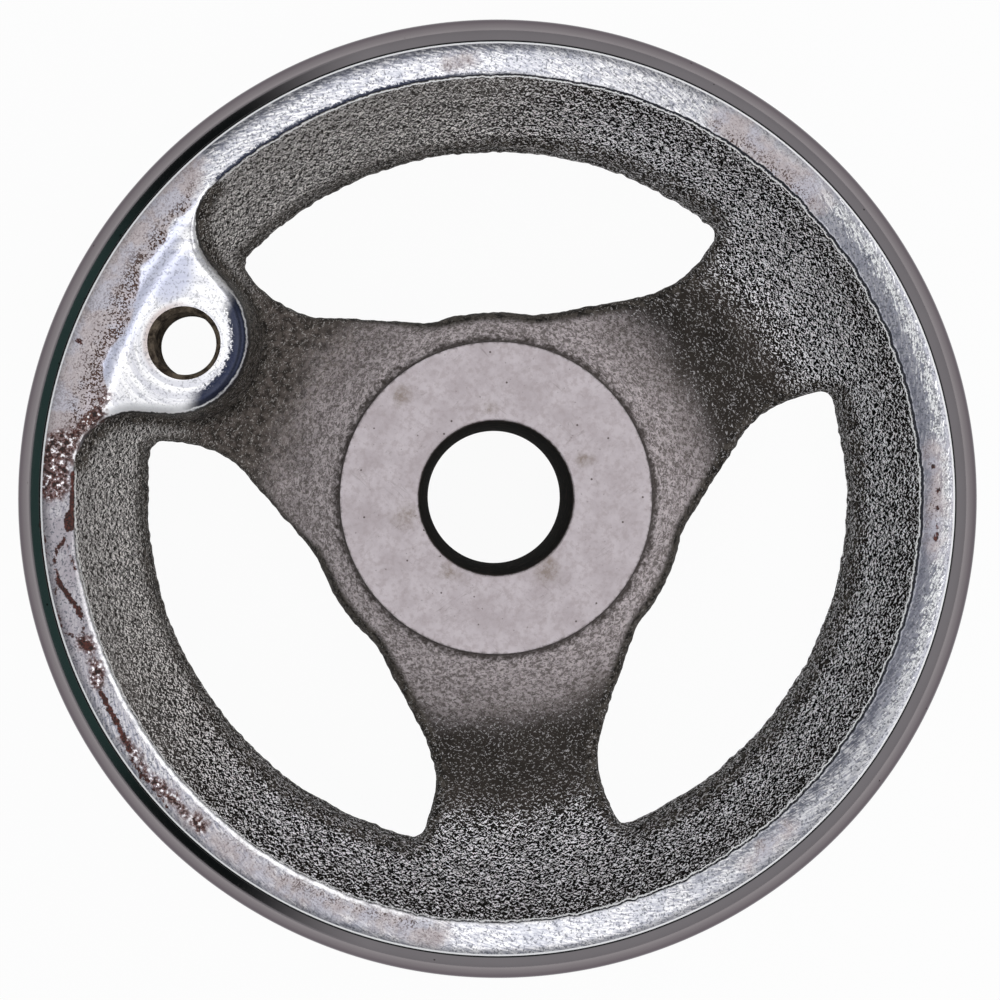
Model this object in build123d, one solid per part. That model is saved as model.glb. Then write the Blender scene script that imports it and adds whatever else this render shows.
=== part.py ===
from build123d import *
from math import acos, atan2, cos, degrees, hypot, radians, sin, sqrt, tan
import os

# Handwheel of a small machine tool. It is one grey-iron casting: a round rim with a turned
# front ring, a dished web cut into three spokes, a hub that runs out to the rear, and a pad
# beside the rim that takes a turning handle.
# Millimetres. +Z is the wheel's axis and points to the front, the side the handle is on.
# The origin is the centre of the bore on the hub's rear face, which the wheel stands on.
# +X points along the spoke that carries the handle pad.

# --- Driving dimensions ---------------------------------------------------------------------

# Rim. It is cast round in section, and a shallow ring is turned on its front.
wheel_diameter = 125.0
rim_thickness = 14.0  # diameter of the round section
ring_outer_inset = 4.6  # ring's outer edge inside the outside of the wheel
ring_width = 4.3
ring_inner_drop = 0.25  # ring's inner edge below the front of the full round
ring_crown = 0.1  # bulge of the turned ring above its chord

# Hub
bore_diameter = 20.0
bore_edge_break = 0.3
hub_length = 32.0
hub_face_rise = 2.0  # turned front face above the middle plane of the rim
hub_face_diameter = 40.5
hub_skirt_depth = 0.8  # steep drop round the turned face
hub_skirt_width = 0.3
hub_shoulder_angle = 38.0  # cast slope below that drop
hub_rear_diameter = 36.0
hub_rear_chamfer = 1.0
hub_rear_draft = 3.0

# Dished web: a flat floor round the hub, then a bowl that climbs to the ring.
web_thickness = 4.5
web_floor_drop = 4.0  # floor below the rim's middle plane
bowl_width = 17.6  # from where the floor ends to the ring's inner edge
bowl_curve_radius = 18.0
hub_front_fillet = 5.0
hub_rear_fillet = 4.0
rim_rear_fillet = 2.0

# Spokes and the windows between them, in plan
spoke_count = 3
spoke_waist_width = 21.5
spoke_waist_inset = 10.0  # narrowest place inside the windows' outer edge
spoke_waist_radius = 14.0
spoke_hub_width = 35.1  # where its straight flares reach the hub
window_band_width = 6.8  # cast band between the windows and the ring
window_hub_margin = 4.85  # hub left round the turned face
window_outer_corner = 1.8
window_inner_corner = 8.0
cast_edge_radius = 1.2

# Handle pad
pad_drop = 1.0  # pad's face below the front of the rim's full round
pad_thickness = 12.0  # through the boss, from the pad's face to its rear
pad_nose_radius = 9.8
pad_nose_inset = 7.4  # nose's centre inside the ring's inner edge
pad_flare_angle = 23.0
pad_root_radius = 7.0  # blend of the pad into the ring, in plan
pad_draft = 4.0
pad_edge_radius = 1.5
pad_base_radius = 2.0  # cast blend between the boss and the spoke
handle_hole_diameter = 8.0
handle_hole_inset = 9.2  # hole's centre inside the ring's inner edge
handle_hole_depth = 5.2  # from the pad's face to the wider step behind
handle_countersink = 0.7
handle_step_width = 2.0

# --- Sizes worked out from them --------------------------------------------------------------

wheel_radius = wheel_diameter / 2
ring_outer_radius = wheel_radius - ring_outer_inset
ring_inner_radius = ring_outer_radius - ring_width
rim_height = hub_length - hub_face_rise
rim_round = rim_thickness / 2
rim_centre = (wheel_radius - rim_round, rim_height)
rim_front = rim_height + rim_round

web_floor = rim_height - web_floor_drop
web_rear = web_floor - web_thickness
bowl_centre = (ring_inner_radius - bowl_width, web_floor + bowl_curve_radius)
rear_curve_radius = bowl_curve_radius + web_thickness

hub_face_radius = hub_face_diameter / 2
hub_rear_radius = hub_rear_diameter / 2
window_outer_radius = ring_inner_radius - window_band_width
window_inner_radius = hub_face_radius + window_hub_margin
spoke_step = 360 / spoke_count

pad_face = rim_front - pad_drop
pad_nose_at = ring_inner_radius - pad_nose_inset
handle_hole_at = ring_inner_radius - handle_hole_inset


def on_circle(centre, radius, angle):
    """Point of a circle at an angle in degrees."""
    return (centre[0] + radius * cos(radians(angle)), centre[1] + radius * sin(radians(angle)))


def distance(start, end):
    return hypot(end[0] - start[0], end[1] - start[1])


def direction(start, end):
    """Direction from one point to another, in degrees."""
    return degrees(atan2(end[1] - start[1], end[0] - start[0]))


def touch_angle(centre, radius, point, turn):
    """Angle on a circle where a line from a point touches it, on the side that turn, 1 or -1, gives."""
    swing = degrees(acos(radius / distance(centre, point)))
    return direction(centre, point) + turn * swing


def arc_about(centre, radius, start_angle, end_angle):
    """Arc about a centre from one angle to another, in degrees."""
    middle = on_circle(centre, radius, (start_angle + end_angle) / 2)
    start = on_circle(centre, radius, start_angle)
    return ThreePointArc(start, middle, on_circle(centre, radius, end_angle))


def fillet_at(sketch, point, radius):
    """Round the one corner of a sketch that lies nearest to a point."""
    corner = sketch.vertices().sort_by_distance(Vector(*point))[0]
    return fillet(corner, radius)


def corners_at(sketch, radius):
    """Corners of a sketch that lie on a circle about the wheel's axis."""
    return [corner for corner in sketch.vertices() if abs(hypot(corner.X, corner.Y) - radius) < 0.01]


def wheel_section():
    """Half section of the whole wheel, as if it had no windows: X is radius, Y is height."""
    # The turned ring starts where it meets the rim's round outside.
    ring_outer_rise = sqrt(rim_round**2 - (ring_outer_radius - rim_centre[0]) ** 2)
    ring_outer = (ring_outer_radius, rim_height + ring_outer_rise)
    ring_inner = (ring_inner_radius, rim_front - ring_inner_drop)
    ring_middle = (
        (ring_inner[0] + ring_outer[0]) / 2,
        (ring_inner[1] + ring_outer[1]) / 2 + ring_crown,
    )

    # The bowl's curve ends where a straight slope to the ring is tangent to it.
    bowl_end_angle = touch_angle(bowl_centre, bowl_curve_radius, ring_inner, -1)
    bowl_end = on_circle(bowl_centre, bowl_curve_radius, bowl_end_angle)

    # Behind, the web follows the same bowl until it meets the rim's round.
    apart = distance(bowl_centre, rim_centre)
    swing = acos(
        (rear_curve_radius**2 + apart**2 - rim_round**2) / (2 * rear_curve_radius * apart)
    )
    rear_end_angle = direction(bowl_centre, rim_centre) - degrees(swing)
    rear_end = on_circle(bowl_centre, rear_curve_radius, rear_end_angle)

    # The hub: a turned face with a steep skirt, a cast shoulder, and a drafted barrel behind.
    skirt_foot = (hub_face_radius + hub_skirt_width, hub_length - hub_skirt_depth)
    shoulder_run = (skirt_foot[1] - web_floor) / tan(radians(hub_shoulder_angle))
    shoulder_foot = (skirt_foot[0] + shoulder_run, web_floor)
    barrel_run = (web_rear - hub_rear_chamfer) * tan(radians(hub_rear_draft))
    barrel_top = (hub_rear_radius + barrel_run, web_rear)

    rear = Polyline(
        (0, 0),
        (hub_rear_radius - hub_rear_chamfer, 0),
        (hub_rear_radius, hub_rear_chamfer),
        barrel_top,
        (bowl_centre[0], web_rear),
    )
    rear_bowl = arc_about(bowl_centre, rear_curve_radius, -90, rear_end_angle)
    rim_outside = arc_about(
        rim_centre, rim_round, direction(rim_centre, rear_end), direction(rim_centre, ring_outer)
    )
    ring = ThreePointArc(ring_outer, ring_middle, ring_inner)
    slope = Line(ring_inner, bowl_end)
    bowl = arc_about(bowl_centre, bowl_curve_radius, bowl_end_angle, -90)
    front = Polyline(
        (bowl_centre[0], web_floor),
        shoulder_foot,
        skirt_foot,
        (hub_face_radius, hub_length),
        (0, hub_length),
        (0, 0),
    )
    section = make_face(rear + rear_bowl + rim_outside + ring + slope + bowl + front)
    section = fillet_at(section, shoulder_foot, hub_front_fillet)
    section = fillet_at(section, barrel_top, hub_rear_fillet)
    return fillet_at(section, rear_end, rim_rear_fillet)


def spoke_plan():
    """Plan of one spoke along +X: waist arcs, and straight flares that widen to the hub."""
    waist_at = window_outer_radius - spoke_waist_inset
    waist_centre = (waist_at, spoke_waist_width / 2 + spoke_waist_radius)
    hub_half = spoke_hub_width / 2
    hub_corner = (sqrt(window_inner_radius**2 - hub_half**2), hub_half)
    flare_angle = touch_angle(waist_centre, spoke_waist_radius, hub_corner, 1)
    flare_start = on_circle(waist_centre, spoke_waist_radius, flare_angle)
    slope = (hub_corner[1] - flare_start[1]) / (flare_start[0] - hub_corner[0])
    at_axis = (0, hub_corner[1] + hub_corner[0] * slope)
    beyond = waist_at + spoke_waist_radius
    half = make_face(
        Polyline((beyond, 0), (0, 0), at_axis, flare_start)
        + arc_about(waist_centre, spoke_waist_radius, flare_angle, 0)
        + Line((beyond, waist_centre[1]), (beyond, 0))
    )
    return half + mirror(half, Plane.XZ)


def window_plan():
    """Plan of the windows: the ring-shaped area between hub and rim, less the spokes."""
    plan = Circle(window_outer_radius) - Circle(window_inner_radius)
    for index in range(spoke_count):
        plan -= Rot(0, 0, index * spoke_step) * spoke_plan()
    plan = fillet(corners_at(plan, window_inner_radius), window_inner_corner)
    return fillet(corners_at(plan, window_outer_radius), window_outer_corner)


def pad_plan():
    """Plan of the handle pad: a round nose whose flanks flare out and blend into the ring."""
    nose_centre = (pad_nose_at, 0)
    flank_start = on_circle(nose_centre, pad_nose_radius, 90 + pad_flare_angle)
    flank_run = rim_centre[0] - flank_start[0]
    flank_end = (rim_centre[0], flank_start[1] + flank_run * tan(radians(pad_flare_angle)))
    flanks = make_face(
        Polyline(
            flank_start,
            flank_end,
            (flank_end[0], -flank_end[1]),
            (flank_start[0], -flank_start[1]),
            close=True,
        )
    )
    under_ring = Circle(rim_centre[0]) - Circle(ring_inner_radius)
    plan = Pos(*nose_centre) * Circle(pad_nose_radius) + flanks + under_ring
    return fillet(corners_at(plan, ring_inner_radius), pad_root_radius)


def cast_wheel():
    """Wheel with its windows cut and every window edge rounded, front and rear."""
    solid_wheel = revolve(Plane.XZ * wheel_section(), Axis.Z)
    windows = extrude(window_plan(), amount=rim_front)
    wheel = solid_wheel - windows
    window_edges = new_edges(solid_wheel, windows, combined=wheel)
    return fillet(window_edges - window_edges.filter_by(Axis.Z), cast_edge_radius)


def pad_boss():
    """Boss under the handle pad, widening downwards with the draft, its front edge rounded."""
    plan = pad_plan()
    root_reach = max(corner.Y for corner in corners_at(plan, ring_inner_radius))
    boss = extrude(Pos(0, 0, pad_face) * plan, amount=-pad_thickness, taper=-pad_draft)
    face_outline = boss.faces().sort_by(Axis.Z)[-1].inner_wires()[0]
    boss = fillet(face_outline.edges(), pad_edge_radius)
    beside_pad = Pos(wheel_radius, 0) * Rectangle(wheel_diameter, 2 * root_reach)
    return boss & extrude(Pos(0, 0, pad_face) * beside_pad, amount=-pad_thickness)


def on_front_of_web(edge):
    """Whether an edge lies on the front of the dished web, short of the pad's rounded rim."""
    middle = edge @ 0.5
    reach = distance(bowl_centre, (hypot(middle.X, middle.Y), middle.Z))
    below_rounding = edge.bounding_box().max.Z < pad_face - pad_edge_radius / 4
    return reach < bowl_curve_radius + web_thickness / 2 and below_rounding


def with_pad(wheel):
    """Join the pad to the wheel, with a cast blend where the boss rises from the spoke."""
    boss = pad_boss()
    joined = wheel + boss
    base = [edge for edge in new_edges(wheel, boss, combined=joined) if on_front_of_web(edge)]
    return fillet(base, pad_base_radius)


def turned_hole(profile):
    """Cutter turned about Z, from the points of its half section."""
    return revolve(Plane.XZ * make_face(Polyline(*profile, close=True)), Axis.Z)


def shaft_bore():
    """Plain bore through the hub, its two edges broken."""
    radius = bore_diameter / 2
    mouth = radius + bore_edge_break
    return turned_hole(
        [
            (0, 0),
            (mouth, 0),
            (radius, bore_edge_break),
            (radius, hub_length - bore_edge_break),
            (mouth, hub_length),
            (0, hub_length),
        ]
    )


def handle_hole():
    """Countersunk plain hole square to the pad, opening into a wider step behind."""
    radius = handle_hole_diameter / 2
    mouth = radius + handle_countersink
    step = radius + handle_step_width
    step_height = pad_face - handle_hole_depth
    cutter = turned_hole(
        [
            (0, 0),
            (step, 0),
            (step, step_height),
            (radius, step_height),
            (radius, pad_face - handle_countersink),
            (mouth, pad_face),
            (0, pad_face),
        ]
    )
    return Pos(handle_hole_at, 0) * cutter


handwheel = with_pad(cast_wheel()) - shaft_bore() - handle_hole()
handwheel.label = "handwheel"

os.makedirs("parts", exist_ok=True)
export_step(handwheel, "parts/handwheel.step")
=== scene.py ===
from math import acos, atan2, cos, degrees, hypot, pi, radians, sin, sqrt, tan

import bmesh
import bpy
import numpy as np
from mathutils import Matrix, Vector, noise
from mathutils.geometry import delaunay_2d_cdt


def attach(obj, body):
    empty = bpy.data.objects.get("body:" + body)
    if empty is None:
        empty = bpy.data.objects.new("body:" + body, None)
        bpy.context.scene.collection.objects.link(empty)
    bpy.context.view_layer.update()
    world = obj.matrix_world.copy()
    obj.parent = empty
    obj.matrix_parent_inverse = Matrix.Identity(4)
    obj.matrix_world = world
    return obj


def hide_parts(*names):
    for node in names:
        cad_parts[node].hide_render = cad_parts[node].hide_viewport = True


# The looks of a small machine handwheel, one grey-iron casting: sand-cast web and windows,
# a polished rim, a ground ring and handle pad with rust and pits, and a turned hub face.
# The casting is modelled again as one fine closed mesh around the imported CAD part.
# Lengths are in millimetres until the mesh is written, and MM turns them into metres.

MM = 0.001
ORIGIN = (0, 0)

# --- The casting's sizes, as in the CAD part -------------------------------------------------

WHEEL_RADIUS = 62.5
RIM_ROUND = 7.0
RIM_HEIGHT = 30.0
RIM_CENTRE = (WHEEL_RADIUS - RIM_ROUND, RIM_HEIGHT)
RING_OUTER = WHEEL_RADIUS - 4.6
RING_INNER = RING_OUTER - 4.3
RING_INNER_HEIGHT = RIM_HEIGHT + RIM_ROUND - 0.25
RING_ROLL = 1.1  # the outer part of the ring, which rolls over into the rim

BORE_RADIUS = 10.0
BORE_MOUTH = BORE_RADIUS + 0.3
HUB_LENGTH = 32.0
HUB_FACE = 20.25
HUB_SKIRT_FOOT = (20.55, HUB_LENGTH - 0.8)
HUB_SHOULDER_ANGLE = 38.0
HUB_FRONT_FILLET = 5.0
HUB_REAR = 18.0
HUB_REAR_CHAMFER = 1.0
HUB_REAR_DRAFT = 3.0
HUB_REAR_FILLET = 4.0

WEB_FLOOR = 26.0
WEB_REAR = 21.5
BOWL_RADIUS = 18.0
BOWL_CENTRE = (36.0, WEB_FLOOR + BOWL_RADIUS)
RIM_REAR_FILLET = 2.0

WINDOW_OUTER = 46.8
WINDOW_INNER = 25.1
WINDOW_OUTER_CORNER = 1.8
WINDOW_INNER_CORNER = 8.0
SPOKE_COUNT = 3
SPOKE_WAIST_HALF = 10.75
SPOKE_WAIST_RADIUS = 14.0
SPOKE_WAIST_AT = WINDOW_OUTER - 10.0
SPOKE_HUB_HALF = 17.55
EDGE_RADIUS = 1.2

PAD_FACE = 36.0
PAD_REAR = 24.0
POLISH_REAR = 51.2  # the rim is polished from here outwards on the rear
PAD_NOSE = (46.2, 0.0)
PAD_NOSE_RADIUS = 9.8
PAD_FLARE = 23.0
PAD_ROOT_RADIUS = 7.0
PAD_DRAFT = 4.0
PAD_EDGE_RADIUS = 1.5
PAD_BASE_RADIUS = 2.0
PAD_BLEND_SHARE = 0.42  # of the side's height, the most that either of these two may take
PAD_RUN_OUT = 3.2  # over which the pad's face runs up to the ring
HOLE_CENTRE = (44.4, 0.0)
HOLE_RADIUS = 4.0
HOLE_MOUTH = HOLE_RADIUS + 0.7
HOLE_DEPTH = 5.2
HOLE_STEP_RADIUS = 6.0


# --- Plane geometry ---------------------------------------------------------------------------


def on_circle(centre, radius, angle):
    """Point of a circle at an angle in degrees."""
    return (centre[0] + radius * cos(radians(angle)), centre[1] + radius * sin(radians(angle)))


def distance(start, end):
    return hypot(end[0] - start[0], end[1] - start[1])


def direction(start, end):
    """Direction from one point to another, in degrees."""
    return degrees(atan2(end[1] - start[1], end[0] - start[0]))


def mirrored(point, axis_angle):
    """The point beyond a line through the wheel's axis."""
    return on_circle(ORIGIN, hypot(*point), 2 * axis_angle - direction(ORIGIN, point))


def corner_angle(one, other, opposite):
    """Angle in degrees between two sides of a triangle, from the lengths of all three."""
    return degrees(acos((one**2 + other**2 - opposite**2) / (2 * one * other)))


def away(x, y, point):
    """Distance of plan points from a given one."""
    return np.hypot(x - point[0], y - point[1])


def touch_angle(centre, radius, point, turn):
    """Angle on a circle where a line from a point touches it, on the side that turn gives."""
    return direction(centre, point) + turn * degrees(acos(radius / distance(centre, point)))


def beside_line(start, angle, offset, reach):
    """Point at a distance from the origin, on the line offset to the left of a given one."""
    along = np.array((cos(radians(angle)), sin(radians(angle))))
    base = np.array(start) + offset * np.array((-along[1], along[0]))
    step = -base @ along + sqrt((base @ along) ** 2 - base @ base + reach**2)
    return tuple(base + step * along)


class Arc:
    """Part of an outline: a turn about a centre, to the left or to the right, in degrees."""

    def __init__(self, centre, radius, start, end, left=True):
        turn = (end - start) % 360 if left else -((start - end) % 360)
        self.centre, self.radius, self.left = centre, radius, left
        self.start, self.end = start, start + turn

    def points(self, step):
        count = max(2, round(radians(abs(self.end - self.start)) * self.radius / step) + 1)
        angles = np.radians(np.linspace(self.start, self.end, count))
        return np.stack((np.cos(angles), np.sin(angles)), 1) * self.radius + self.centre

    def mirrored(self, axis_angle):
        """The same arc beyond a line through the axis, walked the other way round."""
        start, end = 2 * axis_angle - self.end, 2 * axis_angle - self.start
        return Arc(mirrored(self.centre, axis_angle), self.radius, start, end, self.left)

    def measure(self, x, y):
        """How far points lie from this part, and on which side: positive on its right."""
        from_centre = away(x, y, self.centre)
        angle = np.degrees(np.arctan2(y - self.centre[1], x - self.centre[0]))
        low, high = min(self.start, self.end), max(self.start, self.end)
        side = from_centre - self.radius if self.left else self.radius - from_centre
        ends = (on_circle(self.centre, self.radius, end) for end in (low, high))
        to_ends = np.minimum(*(away(x, y, end) for end in ends))
        return np.where((angle - low) % 360 <= high - low, np.abs(side), to_ends), side


class Straight:
    """Straight part of an outline."""

    def __init__(self, start, end):
        self.start, self.end = start, end

    def points(self, step):
        count = max(2, round(distance(self.start, self.end) / step) + 1)
        share = np.linspace(0, 1, count)[:, None]
        return np.array(self.start) * (1 - share) + np.array(self.end) * share

    def mirrored(self, axis_angle):
        return Straight(mirrored(self.end, axis_angle), mirrored(self.start, axis_angle))

    def measure(self, x, y):
        length = distance(self.start, self.end)
        along = ((self.end[0] - self.start[0]) / length, (self.end[1] - self.start[1]) / length)
        x, y = x - self.start[0], y - self.start[1]
        side = x * along[1] - y * along[0]
        past = x * along[0] + y * along[1] - np.clip(x * along[0] + y * along[1], 0, length)
        return np.hypot(side, past), side


def to_right(outline, x, y):
    """Signed distance of points from an outline, positive on its right."""
    nearest, signed = np.full(np.shape(x), np.inf), np.zeros(np.shape(x))
    for part in outline:
        reach, side = part.measure(x, y)
        closer = reach < nearest
        nearest = np.where(closer, reach, nearest)
        signed = np.where(closer, np.copysign(reach, side), signed)
    return signed


def stations(outline, spacing, closed):
    """Evenly spaced points along an outline, and the unit normals to its right."""
    path = np.concatenate([part.points(spacing / 8)[:-1] for part in outline])
    path = np.concatenate((path, path[:1] if closed else [outline[-1].points(spacing)[-1]]))
    run = np.concatenate(([0], np.cumsum(np.hypot(*np.diff(path, axis=0).T))))
    count = round(run[-1] / spacing)
    at = np.linspace(0, run[-1], count + 1)[: count if closed else count + 1]
    points = np.stack([np.interp(at, run, path[:, axis]) for axis in (0, 1)], 1)
    if closed:
        along = np.roll(points, -1, 0) - np.roll(points, 1, 0)
    else:
        along = np.gradient(points, axis=0)
    along /= np.hypot(*along.T)[:, None]
    return points, np.stack((along[:, 1], -along[:, 0]), 1)


def turn_plan(points, angle):
    """Plan points turned about the wheel's axis."""
    c, s = cos(radians(angle)), sin(radians(angle))
    return points @ np.array(((c, s), (-s, c)))


# --- Outlines of the windows and of the handle pad ---------------------------------------------


def window_outline():
    """Outline of the window between the spokes at 0 and 120 degrees, with the web on its right."""
    middle = 180 / SPOKE_COUNT
    waist = (SPOKE_WAIST_AT, SPOKE_WAIST_HALF + SPOKE_WAIST_RADIUS)
    hub_corner = (sqrt(WINDOW_INNER**2 - SPOKE_HUB_HALF**2), SPOKE_HUB_HALF)
    touch = touch_angle(waist, SPOKE_WAIST_RADIUS, hub_corner, 1)
    flare_end = on_circle(waist, SPOKE_WAIST_RADIUS, touch)
    flare = direction(hub_corner, flare_end)
    inner = beside_line(hub_corner, flare, WINDOW_INNER_CORNER, WINDOW_INNER + WINDOW_INNER_CORNER)
    flare_start = on_circle(inner, WINDOW_INNER_CORNER, flare - 90)
    # The outer corner's circle lies inside both the waist's circle and the outer one.
    reach = WINDOW_OUTER - WINDOW_OUTER_CORNER
    to_waist = SPOKE_WAIST_RADIUS - WINDOW_OUTER_CORNER
    swing = corner_angle(reach, hypot(*waist), to_waist)
    outer = on_circle(ORIGIN, reach, direction(ORIGIN, waist) - swing)
    half = [
        Arc(ORIGIN, WINDOW_INNER, middle, direction(ORIGIN, inner), left=False),
        Arc(inner, WINDOW_INNER_CORNER, direction(inner, ORIGIN), flare - 90),
        Straight(flare_start, flare_end),
        Arc(waist, SPOKE_WAIST_RADIUS, flare - 90, direction(waist, outer)),
        Arc(outer, WINDOW_OUTER_CORNER, direction(waist, outer), direction(ORIGIN, outer)),
        Arc(ORIGIN, WINDOW_OUTER, direction(ORIGIN, outer), middle),
    ]
    return half + [part.mirrored(middle) for part in reversed(half)]


def pad_outline():
    """Outline of the pad from ring to ring round its nose, with the web on its right."""
    nose_start = on_circle(PAD_NOSE, PAD_NOSE_RADIUS, 90 + PAD_FLARE)
    reach = RING_INNER - PAD_ROOT_RADIUS
    root = beside_line(nose_start, PAD_FLARE, PAD_ROOT_RADIUS, reach)
    flank_start = on_circle(root, PAD_ROOT_RADIUS, PAD_FLARE - 90)
    half = [
        Arc(root, PAD_ROOT_RADIUS, direction(ORIGIN, root), PAD_FLARE - 90, left=False),
        Straight(flank_start, nose_start),
        Arc(PAD_NOSE, PAD_NOSE_RADIUS, 90 + PAD_FLARE, 180),
    ]
    return half + [part.mirrored(0) for part in reversed(half)]


WINDOW = window_outline()
PAD = pad_outline()


# How far the core of each window sat off its true place: its turn in degrees, and outwards.
CORES = ((0.62, 0.0), (0.75, 0.25), (0.15, -0.28))


def core_place(index):
    """Turn about the axis and shift in plan that put the outline in its place."""
    turn, outwards = CORES[index]
    step = 360 / SPOKE_COUNT
    return index * step + turn, np.array(on_circle(ORIGIN, outwards, (index + 0.5) * step))


def window_distance(x, y):
    """Distance of plan points into the web from the nearest window, negative inside one."""
    distances = []
    for index in range(SPOKE_COUNT):
        turn, shift = core_place(index)
        place = turn_plan(np.stack((x, y), -1) - shift, -turn)
        distances.append(to_right(WINDOW, place[..., 0], place[..., 1]))
    return np.min(distances, axis=0)


def pad_distance(x, y):
    """Distance of plan points outside the pad's outline, negative on the pad."""
    flank = np.concatenate([part.points(0.05) for part in reversed(PAD[:3])])
    flank = flank[np.argsort(flank[:, 1])]
    outline_at = np.interp(np.abs(y), flank[:, 1], flank[:, 0], right=WHEEL_RADIUS)
    reach = np.min([part.measure(x, y)[0] for part in PAD], axis=0)
    return np.where(x > outline_at, -reach, reach)


# --- Heights of the front and the rear ----------------------------------------------------------


def profile(*parts):
    """Radii and heights along a profile made of single points and arcs, for interpolation."""
    path = [np.array([part]) if isinstance(part, tuple) else part.points(0.05) for part in parts]
    return np.concatenate(path).T


def front_profile():
    """The turned profile of the front, from the bore to the ring's outer edge."""
    slope = tan(radians(HUB_SHOULDER_ANGLE))
    shoulder_foot = HUB_SKIRT_FOOT[0] + (HUB_SKIRT_FOOT[1] - WEB_FLOOR) / slope
    fillet_at = shoulder_foot + HUB_FRONT_FILLET * tan(radians(HUB_SHOULDER_ANGLE / 2))
    ring_inner = (RING_INNER, RING_INNER_HEIGHT)
    bowl_end = touch_angle(BOWL_CENTRE, BOWL_RADIUS, ring_inner, -1)
    return profile(
        (0.0, HUB_LENGTH),
        (HUB_FACE, HUB_LENGTH),
        HUB_SKIRT_FOOT,
        Arc((fillet_at, WEB_FLOOR + HUB_FRONT_FILLET), HUB_FRONT_FILLET, -90 - HUB_SHOULDER_ANGLE, -90),
        Arc(BOWL_CENTRE, BOWL_RADIUS, -90, bowl_end),
        ring_inner,
    )


def ring_height(r):
    """Height of the turned ring, flat but for its outer edge, which rolls over into the rim."""
    across = RING_OUTER - RIM_CENTRE[0]
    outer_height = RIM_HEIGHT + sqrt(RIM_ROUND**2 - across**2)
    outer_slope = across / (outer_height - RIM_HEIGHT)
    width, fall = RING_OUTER - RING_INNER, RING_INNER_HEIGHT - outer_height
    slope = (fall - outer_slope * RING_ROLL / 2) / (width - RING_ROLL / 2)
    out = np.maximum(r - RING_INNER, 0)
    roll = np.clip(r - RING_OUTER + RING_ROLL, 0, RING_ROLL)
    return RING_INNER_HEIGHT - slope * out - (outer_slope - slope) * roll**2 / (2 * RING_ROLL)


def rear_profile():
    """The profile of the rear, from the bore to the lowest point of the rim's round."""
    draft = radians(HUB_REAR_DRAFT)
    barrel_top = HUB_REAR + (WEB_REAR - HUB_REAR_CHAMFER) * tan(draft)
    fillet_at = barrel_top + HUB_REAR_FILLET * tan((pi / 2 - draft) / 2)
    barrel_blend = (fillet_at, WEB_REAR - HUB_REAR_FILLET)
    rear_radius = BOWL_RADIUS + WEB_FLOOR - WEB_REAR
    # The fillet's circle between web and rim touches both from behind.
    to_bowl, to_rim = rear_radius + RIM_REAR_FILLET, RIM_ROUND + RIM_REAR_FILLET
    swing = corner_angle(to_bowl, distance(BOWL_CENTRE, RIM_CENTRE), to_rim)
    blend = on_circle(BOWL_CENTRE, to_bowl, direction(BOWL_CENTRE, RIM_CENTRE) - swing)
    blend_start = direction(blend, BOWL_CENTRE)
    return profile(
        (0.0, 0.0),
        (HUB_REAR - HUB_REAR_CHAMFER, 0.0),
        (HUB_REAR, HUB_REAR_CHAMFER),
        Arc(barrel_blend, HUB_REAR_FILLET, 180 - HUB_REAR_DRAFT, 90, left=False),
        Arc(BOWL_CENTRE, rear_radius, -90, direction(BOWL_CENTRE, blend)),
        Arc(blend, RIM_REAR_FILLET, blend_start, direction(blend, RIM_CENTRE), left=False),
        Arc(RIM_CENTRE, RIM_ROUND, direction(RIM_CENTRE, blend), -90),
    )


FRONT = front_profile()
REAR = rear_profile()


def smooth(share):
    """Soft step from 0 to 1."""
    share = np.clip(share, 0, 1)
    return share * share * (3 - 2 * share)


def ripple(x, y, z, period, seed):
    """Soft noise, about -1 to 1, at points in space."""
    scaled = np.stack(np.broadcast_arrays(x, y, z), -1).reshape(-1, 3) / period + seed
    return np.array([noise.noise(Vector(point)) for point in scaled]).reshape(np.shape(x))


def waves(x, y, z, layers):
    """Layers of soft noise together, each with its height, period and seed."""
    return sum(height * ripple(x, y, z, period, seed) for height, period, seed in layers)


# How ragged the ring's inner edge is: the height of its teeth, how much they grow where the
# part's x is below 0, and how far the whole edge wanders.
TOOTH_HEIGHT, TOOTH_GROWTH, EDGE_WANDER = 0.14, 0.12, 0.17


def ring_distance(x, y):
    """Distance outwards from the ring's inner edge, ragged where the cutter met the cast skin."""
    r = np.hypot(x, y)
    around = (x * RING_INNER / r, y * RING_INNER / r)
    teeth = (TOOTH_HEIGHT + TOOTH_GROWTH * smooth(-x / 20)) * ripple(*around, 0, 1.0, 3.0)
    edge = RING_INNER + teeth + EDGE_WANDER * ripple(*around, 0, 6.0, 7.0)
    return r - edge


def pad_top(r):
    """Height of the pad's face, which runs up into the ring without a step."""
    share = smooth((r - RING_INNER + PAD_RUN_OUT) / PAD_RUN_OUT)
    return PAD_FACE + (RING_INNER_HEIGHT - PAD_FACE) * share


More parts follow.
